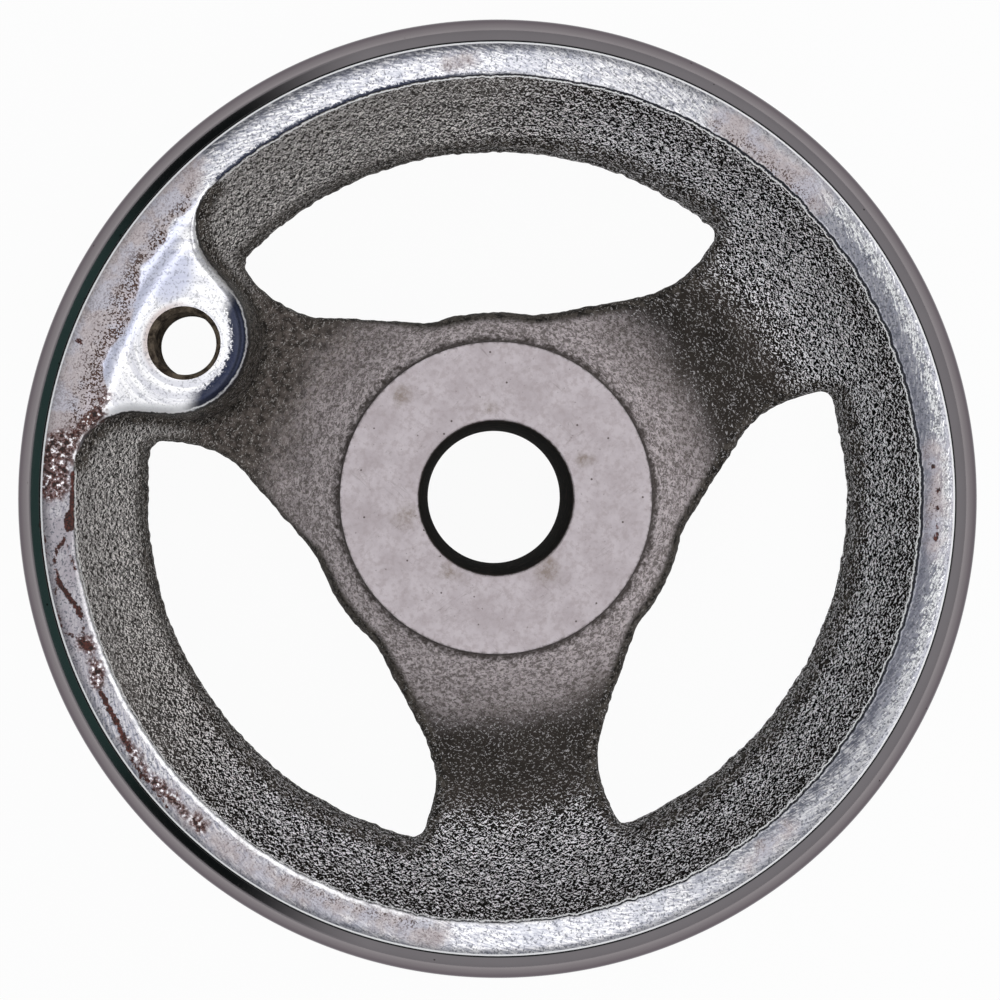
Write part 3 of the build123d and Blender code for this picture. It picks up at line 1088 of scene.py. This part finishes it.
def sand_cast():
    """Bare sand-cast skin: dark iron with a worm-like grain, strongest towards the ring, painted with
    shade in its crevices, shading of its relief and bright glints.
    """
    f = Finish("sand_cast")
    window_gap, pad_gap, ring_gap = (f.attribute(name) for name in ("window", "pad", "ring"))
    blotch = f.noise(6, seed=9, roughness=0.55)
    mottle = f.noise(0.75, seed=2)
    on_spoke, high, shoulder = paint_skin(f, blotch, mottle)
    # Painted shade along the windows' rounded edges and round the pad.
    width = f.step(f.x, 14, 26, 1.1, 0.1)
    inside = f.step(window_gap - width, mottle * -0.4, mottle * 1.8) * f.step(pad_gap, 0.9, 2)
    edge = f.ramp(mottle, 0.36, 0.64, (0.016, 0.014, 0.012), (0.085, 0.074, 0.064))
    f.colour = f.mix(inside, edge, f.colour)

    # The grain, with painted shading of its relief: black painted shade in its crevices, a mid-grey, and
    # painted glints on its crests.
    front = f.step(f.z, 24, 25.5, 0.5, 1)
    strength = f.step(f.radius, 37.5, 47, 0.08, 1) * f.side(268, 0.3, 1, 1, 0.84)
    strength *= f.step(ring_gap, -3.6, -0.9, 1, 0.66)
    strength *= f.step(f.x, 4, 40, 1, 0.8)
    strength = strength * front * f.blend(inside, 0.45, 1)
    strength = strength * f.blend(on_spoke, 1, 0.4) * f.blend(high, 1, 0.6)
    worm, lit = f.embossed(0.35, 1.8, 0.8, 1.0021)
    lit_grain = worm * 0.75 + lit * 0.8 - 0.15
    sunk = lit_grain - (1 - strength) * 0.108
    f.paint(f.step(lit_grain, 0.236, 0.195) * strength, (0.001, 0.001, 0.001))
    f.paint(f.step(sunk, 0.225, 0.27) * 0.35, (0.28, 0.255, 0.24))
    # Painted glints, brighter in some places than in others.
    glint = f.noise(0.9, seed=13, detail=1, roughness=0.5)
    bright = f.step(sunk, 0.242, 0.27) * f.step(glint, 0.34, 0.56, 0.6, 1)
    bright = bright * f.step(strength, 0, 0.7, 0.3, 1) * (1 - shoulder)
    f.paint(bright, f.ramp(f.x, 0, 34, (0.97, 0.95, 0.98), (0.8, 0.765, 0.735)))

    # The lip beside the ring, burnished and with a painted highlight, stronger on one side, and painted
    # shade at the foot of the hub's face.
    ragged = f.shaken(ring_gap, f.noise(0.45, 4, 2, 0.5), 0.3)
    lip = f.between(ragged, -0.19, -0.09, 0.03) * f.step(pad_gap, 0.5, 1.5) * front
    f.paint(lip * f.side(15, -0.6, 0.2, 0.45, 1), (0.98, 0.98, 0.98))
    foot = f.step(f.shaken(f.radius, mottle, 3), 21.7, 20.5) * f.step(f.z, 28, 30)
    f.paint(foot * 0.85, (0.045, 0.036, 0.032))
    f.shade(gloss=f.blend(bright, 0.06, 0.6))
    return f.finished(f.blend(bright, 0.6, 0.3), bright * 0.3, worm * 0.7 + mottle * 0.3, 0.2)


def belt_marks(f):
    """Slanting belt marks round the ring. Their pattern's seam lies under the rust."""
    inputs = {"Vector": f.place, "Angle": radians(180 - SEAM_ANGLE)}
    turned = Field(f, f.node("ShaderNodeVectorRotate", inputs, rotation_type="Z_AXIS"))
    x, y, _ = f.axes(turned)
    along = f.math("ARCTAN2", y, x) * RING_OUTER
    across = f.radius - along * BELT_SLANT
    return f.noise(1, 0, 4, 0.75, vector=f.joined(along * 0.75, across * 3.4, 0))


def paint_ring(f, ring_gap, belt, marks, cloud):
    """The ring, blue-grey with bright marks, and painted reflections that differ round the wheel: dark
    bands, a white highlight, an evener grey.
    """
    f.colour = f.ramp(marks, 0.38, 0.62, (0.27, 0.275, 0.32), (0.81, 0.8, 0.805))
    f.paint(f.step(cloud, 0.48, 0.6) * 0.45, (0.4, 0.41, 0.465))
    # Painted reflections: dark streaked bands, the inner part on one side of the wheel and the outer
    # part on two others.
    streaks = f.step(belt, 0.64, 0.44, 0.25, 1)
    for at, spread, start, end, share in (
        (345, 0.48, 2.3, 0.8, 0.88),
        (112, 0.78, 2.2, 3.3, 0.7),
        (228, 0.78, 2.4, 3.4, 0.45),
    ):
        dark = f.side(at, spread, 0.95) * f.step(ring_gap, start, end) * streaks
        f.paint(dark * share, (0.055, 0.06, 0.085))
    # Painted reflection: darker blue on one side, with a painted white highlight along its outer part.
    on_right = f.side(10, 0.62, 0.92)
    f.paint(on_right * 0.6, (0.235, 0.24, 0.29))
    torn = f.shaken(ring_gap, belt, 8)
    f.paint(on_right * f.between(torn, 2.7, 3.2, 0.25), (0.97, 0.97, 0.97))
    # Painted reflection: an evener grey over one side, which keeps its marks towards one end.
    calm = f.side(204, 0.72, 0.9) * f.step(cloud, 0.35, 0.55, 0.6, 0.9)
    streaked = f.ramp(marks, 0.4, 0.6, (0.26, 0.265, 0.32), (0.62, 0.6, 0.62))
    f.paint(calm, f.mix(f.side(232, 0.8, 0.96), (0.315, 0.29, 0.315), streaked))


def paint_pad(f, on_pad, from_hole, marks, cloud):
    """The pad, nearly white, with a lavender patch and a pink edge to the hole."""
    face = f.ramp(marks, 0.36, 0.6, (0.56, 0.56, 0.6), (0.82, 0.815, 0.82))
    patch = f.step(f.far_from(50.5, -7) + cloud * 3, 6.2, 4.2)
    patch = f.highest(patch, f.step(f.x + cloud * 2, 50.8, 52.6))
    face = f.mix(patch * 0.8, face, (0.42, 0.44, 0.56))
    by_hole = f.step(from_hole, 5.7, 4.8) * f.step(f.x, 45, 49)
    f.paint(on_pad, f.mix(by_hole, face, (0.52, 0.455, 0.44)))
    speck = f.noise(0.26, seed=31, detail=1)
    f.paint(f.step(speck, 0.47, 0.36) * f.blend(on_pad, 0.75, 0.45), (0.1, 0.105, 0.125))


def paint_pad_edge(f, pad_gap, on_pad, fine, hair):
    """The pad's rounded edge: a painted dark navy reflection towards the hub, painted highlights on the
    rounding and along the edge, and painted shade outside it.
    """
    # Painted reflection: dark navy on the rounded edge towards the hub.
    navy_reflection = f.between(f.shaken(pad_gap, hair, 2.2), -1.9, 0.2, 0.5)
    navy_reflection *= f.step(f.x + f.y * 0.12, 42.2, 39.8)
    # Painted highlight: white on the rounding at one end of the pad.
    rounded = f.between(f.shaken(pad_gap, fine, 1.6), -0.8, 0.3, 0.5) * f.step(f.y, 4, 8) * on_pad
    f.paint(rounded * 0.8, (0.93, 0.93, 0.95))
    f.paint(navy_reflection * 0.97, (0.008, 0.012, 0.032))
    # A painted white highlight along the edge, and painted shade just outside it.
    ragged = f.shaken(pad_gap, fine, 0.5)
    f.paint(f.near(ragged, -0.25, 0.17), (0.95, 0.95, 0.96))
    under = f.step(ragged, -0.14, -0.04) * on_pad
    f.paint(under, (0.02, 0.017, 0.015))
    return rounded, under


def paint_stains(f, ring_gap, cloud, fine, coarse):
    """Pinkish stains, full of small pits, with a sharp edge on the pad."""
    by_pad = f.step(f.x, 40, 46) * f.step(abs(f.y), 18.5, 15.5)
    ragged = f.shaken(f.attribute("stain"), coarse, f.blend(by_pad, 4, 1.3))
    stain = f.step(ragged, f.blend(by_pad, -1.5, -0.2), f.blend(by_pad, 1.3, 0.25))
    ground_in = f.ramp(cloud, 0.45, 0.62, (0.5, 0.435, 0.44), (0.54, 0.52, 0.58))
    f.paint(stain * f.blend(fine, 0.6, 1), ground_in)
    dense = f.near(ragged, 0.9, 1.6) * by_pad * 0.07
    pitting = f.noise(0.21, seed=15, detail=1) + coarse * 0.3 + dense
    pitting = f.step(pitting, 0.7, 0.75) * stain * f.step(ring_gap, 2.6, 0.6, 0.35, 1)
    f.paint(pitting, (0.075, 0.042, 0.033))
    return stain, pitting


def paint_rust(f, fine, coarse):
    """Rust in solid strokes, and broken into flecks over bright metal."""
    rust = f.step(f.shaken(f.attribute("rust"), fine, 1.3), -0.06, 0.1)
    lace = f.noise(0.55, seed=22, detail=2.5, roughness=0.65)
    broken = f.step(f.shaken(f.attribute("lace"), coarse, 2.5), -0.5, 0.7)
    f.paint(broken * f.step(lace, 0.66, 0.48) * 0.85, (0.13, 0.062, 0.052))
    f.paint(broken * f.step(lace, 0.575, 0.605), (0.9, 0.87, 0.89))
    rust = f.highest(rust, broken * f.step(lace, 0.49, 0.46))
    scale = f.ramp(fine, 0.4, 0.6, (0.115, 0.026, 0.017), (0.048, 0.012, 0.009))
    scale = f.mix(broken * f.step(lace, 0.46, 0.42) * 0.8, scale, (0.01, 0.006, 0.005))
    scale = f.mix(f.step(f.noise(0.24, 18, 1, 0.5), 0.56, 0.6), scale, (0.008, 0.006, 0.005))
    f.paint(rust, scale)
    return rust


def paint_ring_edges(f, ring_gap, pad_gap, fine, hair, rust):
    """Along the ring's inner edge a painted highlight and a painted shadow, each on its own side, and
    the cut painted dark as its shade; a painted highlight on the outer corner.
    """
    off_pad = f.step(pad_gap, 0.3, 1)
    ragged = f.shaken(ring_gap, f.noise(0.45, 4, 2, 0.5), 0.3)
    # Painted highlight beside the inner edge, on one side of the wheel.
    lit = f.between(ragged, 0, 0.55, 0.1) * f.side(226, 0.75, 0.95) * off_pad * (1 - rust)
    f.paint(lit * f.step(fine, 0.62, 0.42, 0.3, 0.85), (0.9, 0.89, 0.9))
    shadow = f.between(f.shaken(ring_gap, hair, 1.2), 0, 0.34, 0.2) * f.side(120, 0.78, 0.95)
    f.paint(shadow * off_pad * 0.95, (0.008, 0.012, 0.03))
    # The shallow cut along the inner edge, painted dark as its shade, wider on one side.
    cut_edge = f.math("MULTIPLY_ADD", f.by_angle(15), 0.2, 0.08)
    cut = f.step(ragged, -0.17, -0.1) * f.step(ragged - cut_edge, 0.07, 0) * off_pad
    f.paint(cut, (0.006, 0.008, 0.016))
    # Painted highlight on the ring's rolled outer corner.
    corner = f.step(f.radius, RING_OUTER - 0.27, RING_OUTER - 0.21)
    f.paint(corner, (0.95, 0.95, 0.96))
    return cut, corner


def ground():
    """Ground ring and pad: bright iron with belt marks, pitted stains and rust, and with painted
    reflections, highlights and shade.
    """
    f = Finish("ground")
    ring_gap, pad_gap = f.attribute("ring"), f.attribute("pad")
    belt = belt_marks(f)
    # Rings of polish lie about the handle's hole on the pad.
    from_hole = f.far_from(*HOLE_CENTRE)
    ring_place = f.joined(from_hole * 1.5, f.x * 0.1, f.y * 0.1)
    rings = f.noise(1, seed=3, vector=ring_place)
    on_pad = f.step(ring_gap, 0.6, -0.6)
    marks = f.blend(on_pad, belt, rings)
    cloud = f.noise(3.2, seed=6)
    coarse = f.noise(2.2, seed=12, detail=2)
    fine = f.noise(0.7, seed=8, roughness=0.65)
    hair = f.noise(0.35, seed=27, detail=2, roughness=0.7)

    paint_ring(f, ring_gap, belt, marks, cloud)
    paint_pad(f, on_pad, from_hole, marks, cloud)
    rounded, under = paint_pad_edge(f, pad_gap, on_pad, fine, hair)
    stain, pitting = paint_stains(f, ring_gap, cloud, fine, coarse)
    rust = paint_rust(f, fine, coarse)
    cut, corner = paint_ring_edges(f, ring_gap, pad_gap, fine, hair, rust)
    dull = f.highest(rust, cut, stain * 0.55, corner * 0.85, rounded * 0.6, under)
    roughness = f.blend(dull, f.blend(marks, 0.24, 0.34), 0.62)
    relief = marks * 0.8 + fine * 0.2 - pitting * 0.9
    return f.finished(roughness, f.blend(dull, 1, 0.25), relief, 0.022)


def polished():
    """Polished outside of the rim: grey mirror, slightly dulled, with a few pits, a painted darker
    reflection lower down and painted shade by the ring.
    """
    f = Finish("polished")
    cloud = f.noise(9)
    f.colour = f.mix(cloud, (0.3, 0.275, 0.285), (0.36, 0.333, 0.342))
    # Painted darker reflection lower down the round.
    f.paint(f.step(f.z, 36.2, 35), f.mix(cloud, (0.222, 0.203, 0.212), (0.262, 0.24, 0.249)))
    f.paint(f.pits(3.4, 0.055), (0.03, 0.025, 0.02))
    front = f.step(f.z, 32, 34)
    # Painted shade in the crease beside the ring.
    corner = f.step(f.radius, RING_OUTER + 0.3, RING_OUTER + 0.16) * front
    f.paint(corner, (0.02, 0.022, 0.022))
    rust = f.step(f.noise(0.8, seed=7), 0.52, 0.58)
    f.paint(rust * f.step(f.attribute("rust"), -0.9, 0) * front, (0.1, 0.03, 0.02))
    f.shade(gloss_tint=(0.4, 0.38, 0.4, 1))
    return f.finished(f.blend(corner, f.blend(f.noise(2, 3, 2, 0.5), 0.07, 0.14), 0.5), 1)


def turned_face():
    """Turned hub face: matt grey, mottled, with fine scratches, specks and brown stains, and painted
    shade at its outer edge and the bore's mouth.
    """
    f = Finish("turned_face")
    cloud = f.noise(4, detail=5, roughness=0.65)
    fine = f.noise(0.8, seed=5, detail=4, roughness=0.75)
    f.colour = f.ramp(cloud, 0.35, 0.65, (0.5, 0.44, 0.46), (0.62, 0.56, 0.585))
    f.paint(f.step(fine, 0.46, 0.62) * 0.55, (0.42, 0.355, 0.365))
    # Scratches lie two ways, and show in patches.
    for lean, seed in ((1.9, 3), (-0.35, 7)):
        along, across = f.x + f.y * lean, f.y - f.x * lean
        place = f.joined(along * 0.09, across * 1.1, 0)
        scratch = f.near(f.noise(1, seed, 1, 0.5, 0.3, place), 0.5, 0.014)
        patches = f.step(f.noise(3.5, seed, 2, 0.5), 0.55, 0.66)
        f.paint(scratch * patches * 0.45, (0.2, 0.165, 0.155))
    flecks = f.step(f.noise(0.5, seed=33, detail=1.5), 0.33, 0.26)
    f.paint(flecks * 0.6, (0.13, 0.1, 0.09))
    f.paint(f.pits(2.3, 0.075), (0.1, 0.075, 0.07))
    for x, y, reach in FACE_STAINS:
        stain = f.step(f.shaken(f.far_from(x, y), cloud, 6), reach, 0)
        f.paint(stain * f.step(fine, 0.36, 0.6, 0.35, 1) * 0.8, (0.26, 0.205, 0.17))
    # Painted shade at the face's outer edge, and inside the bore's mouth.
    edge = f.step(f.radius + fine * 0.9, HUB_FACE + 0.2, HUB_FACE + 0.55)
    f.paint(edge * 0.75 * f.step(f.z, 20, 25), (0.045, 0.036, 0.034))
    lip = f.step(f.radius - fine * 0.3, BORE_RADIUS + 0.08, BORE_RADIUS - 0.08)
    f.paint(lip, (0.03, 0.022, 0.018))
    return f.finished(0.6, 0.15, fine, 0.02)


def bored():
    """Walls of the bore and of the handle's hole: painted near black as the shade inside them, and brown
    mottled in the hole.
    """
    f = Finish("bored")
    cloud = f.noise(1.4, detail=4, roughness=0.65)
    in_hole = f.step(f.far_from(*HOLE_CENTRE), 9, 8)
    f.colour = f.ramp(cloud, 0.48, 0.68, (0.007, 0.006, 0.005), (0.035, 0.024, 0.018))
    f.paint(in_hole, f.ramp(cloud, 0.38, 0.64, (0.03, 0.023, 0.018), (0.15, 0.12, 0.09)))
    f.shade(gloss=0.02)
    return f.finished(0.9, 0, cloud, 0.05)


# --- Camera, floor and light --------------------------------------------------------------------

# The photograph looks straight at the wheel from close by. In the camera's own axes, which are
# right, up and backwards, these are the hub face's centre, the wheel's axis and the pad's spoke.
FOCAL_LENGTH = 1.447  # of the picture's width
HUB_FACE_SEEN_AT = (3.85, -1.88, -187.8)
AXIS_SEEN = (-0.0100, 0.0055, 1.0)
FRAMING_SHIFT = (0.0338, -0.0166)  # the picture was cropped a little off the lens's centre
PAD_SPOKE_SEEN_ANGLE = 153.6
SENSOR_WIDTH = 36.0


def add_object(name, data, matrix=Matrix()):
    """A new object in the scene."""
    thing = bpy.data.objects.new(name, data)
    thing.matrix_world = matrix
    bpy.context.scene.collection.objects.link(thing)
    return thing


def add_camera():
    axis = Vector(AXIS_SEEN).normalized()
    spoke = Vector((*on_circle(ORIGIN, 1, PAD_SPOKE_SEEN_ANGLE), 0))
    spoke = (spoke - spoke.dot(axis) * axis).normalized()
    part_axes = Matrix((spoke, axis.cross(spoke), axis)).transposed()
    origin = (Vector(HUB_FACE_SEEN_AT) - part_axes @ Vector((0, 0, HUB_LENGTH))) * MM
    data = bpy.data.cameras.new("camera")
    data.sensor_width = SENSOR_WIDTH
    data.lens = FOCAL_LENGTH * SENSOR_WIDTH
    data.shift_x, data.shift_y = FRAMING_SHIFT
    data.clip_start = 0.01
    camera = add_object("camera", data, (Matrix.Translation(origin) @ part_axes.to_4x4()).inverted())
    bpy.context.scene.camera = camera
    return camera


FLOOR_REACH = 30.0
FLOOR_WHITE = 0.95  # of a camera ray's white


def add_floor():
    """A white floor that keeps the wheel's soft shadow."""
    corners = [(x * FLOOR_REACH, y * FLOOR_REACH, 0) for x, y in ((-1, -1), (1, -1), (1, 1), (-1, 1))]
    mesh = bpy.data.meshes.new("floor")
    mesh.from_pydata(corners, [], [(0, 1, 2, 3)])
    f = Finish("floor")
    paths = f.node("ShaderNodeLightPath")
    rays = (Field(f, paths, f"Is {kind} Ray") for kind in ("Camera", "Glossy", "Transmission"))
    f.colour = (0.8, 0.8, 0.8, 1.0)
    mesh.materials.append(f.finished(0.9, 0.0))
    white = Field(f, f.node("ShaderNodeEmission"))
    inputs = {"Fac": f.highest(*rays) * FLOOR_WHITE, 1: Field(f, f.shader), 2: white}
    seen = Field(f, f.node("ShaderNodeMixShader", inputs))
    f.feed(f.tree.nodes["Material Output"].inputs["Surface"], seen)
    add_object("floor", mesh)


# Each softbox: its name, how far it leans off the view's axis, towards which direction in the
# picture, its size across that direction and along it in metres, and its radiance.
SOFTBOXES = (
    ("overhead_softbox", 0, 95, (0.17, 0.64), 2.1),
    ("right_softbox", 42, 2, (0.60, 0.19), 1.6),
    ("left_softbox", 17, 178, (0.44, 0.15), 0.85),
)
SOFTBOX_DISTANCE = 0.6
ROOM_COLOUR = (0.51, 0.515, 0.53)


def add_softbox(camera, name, lean, toward, size, radiance):
    data = bpy.data.lights.new(name, "AREA")
    data.shape = "RECTANGLE"
    data.size, data.size_y = size
    data.energy = radiance * pi * size[0] * size[1]
    turn = Matrix.Rotation(radians(toward - 90), 4, "Z") @ Matrix.Rotation(radians(-lean), 4, "X")
    axes = camera.matrix_world.to_3x3().to_4x4()
    add_object(name, data, axes @ turn @ Matrix.Translation((0, 0, SOFTBOX_DISTANCE)))


# The dark card's distance and the heights of its edges in metres, and half of its arc in degrees.
CARD_DISTANCE, CARD_BOTTOM, CARD_TOP, CARD_HALF_ARC = 0.55, 0.085, 0.36, 76


def add_dark_card(camera):
    """A dark green card, curved round the picture's left, which the rim mirrors. It isn't seen."""
    count = 39
    swing = np.linspace(-CARD_HALF_ARC, CARD_HALF_ARC, count)
    angles = np.radians(180 + swing)
    low = np.stack((np.cos(angles), np.sin(angles), np.zeros(count)), 1) * CARD_DISTANCE
    low = low @ np.array(camera.matrix_world.to_3x3()).T
    low[:, 2] = CARD_BOTTOM
    points = np.concatenate((low, low + (0, 0, CARD_TOP - CARD_BOTTOM)))
    mesh = bpy.data.meshes.new("dark_card")
    faces = [(i, i + 1, i + count + 1, i + count) for i in range(count - 1)]
    mesh.from_pydata(points.tolist(), [], faces)
    store(mesh, "shade", np.tile(abs(swing) / CARD_HALF_ARC, 2))
    f = Finish("dark_card")
    shade = f.attribute("shade")
    f.colour = f.ramp(shade, 0.36, 0.60, (0.045, 0.100, 0.090), (0.004, 0.008, 0.008))
    f.paint(f.step(shade, 0.74, 1.0), ROOM_COLOUR)
    f.shade(glow=f.colour, glow_strength=1.0)
    f.colour = (0.0, 0.0, 0.0, 1.0)
    mesh.materials.append(f.finished(1.0, 0.0))
    card = add_object("dark_card", mesh)
    card.visible_camera = False


def add_light(camera):
    """Soft studio light: an even grey room, softboxes and the dark card."""
    world = bpy.data.worlds.new("studio")
    world.use_nodes = True
    world.node_tree.nodes["Background"].inputs["Color"].default_value = (*ROOM_COLOUR, 1)
    bpy.context.scene.world = world
    bpy.context.scene.view_settings.view_transform = "Standard"
    for softbox in SOFTBOXES:
        add_softbox(camera, *softbox)
    add_dark_card(camera)


# --- The scene ----------------------------------------------------------------------------------


def store(mesh, name, values):
    """Store a number for each point of a mesh, which the finishes are drawn by."""
    attribute = mesh.attributes.new(name, "FLOAT", "POINT")
    attribute.data.foreach_set("value", values.astype(np.float32))


def add_casting():
    """The casting, with its distances from edges, rust and stains, and its finishes."""
    mesh = write_mesh(build_casting())
    mesh.set_sharp_from_angle(angle=radians(SHARP_ANGLE))
    points = np.empty(len(mesh.vertices) * 3)
    mesh.vertices.foreach_get("co", points)
    x, y, _ = points.reshape(-1, 3).T / MM
    for name, outline in (("window", window_distance), ("pad", pad_distance), ("ring", ring_distance)):
        store(mesh, name, outline(x, y))
    for name, strokes in (("lace", LACE), ("rust", RUST), ("stain", STAINS)):
        store(mesh, name, inside_strokes(strokes, x, y))
    for finish in (sand_cast, ground, polished, turned_face, bored):  # as they are numbered
        mesh.materials.append(finish())
    return add_object("handwheel_casting", mesh)


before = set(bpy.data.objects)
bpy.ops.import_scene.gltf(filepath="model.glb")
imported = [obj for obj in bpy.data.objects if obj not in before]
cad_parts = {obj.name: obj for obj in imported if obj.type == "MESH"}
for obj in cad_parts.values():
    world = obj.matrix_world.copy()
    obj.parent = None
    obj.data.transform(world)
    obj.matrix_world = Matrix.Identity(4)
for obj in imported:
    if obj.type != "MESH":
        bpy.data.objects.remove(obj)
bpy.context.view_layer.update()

casting = add_casting()
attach(casting, "root")
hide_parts("handwheel")

camera = add_camera()
add_floor()
add_light(camera)
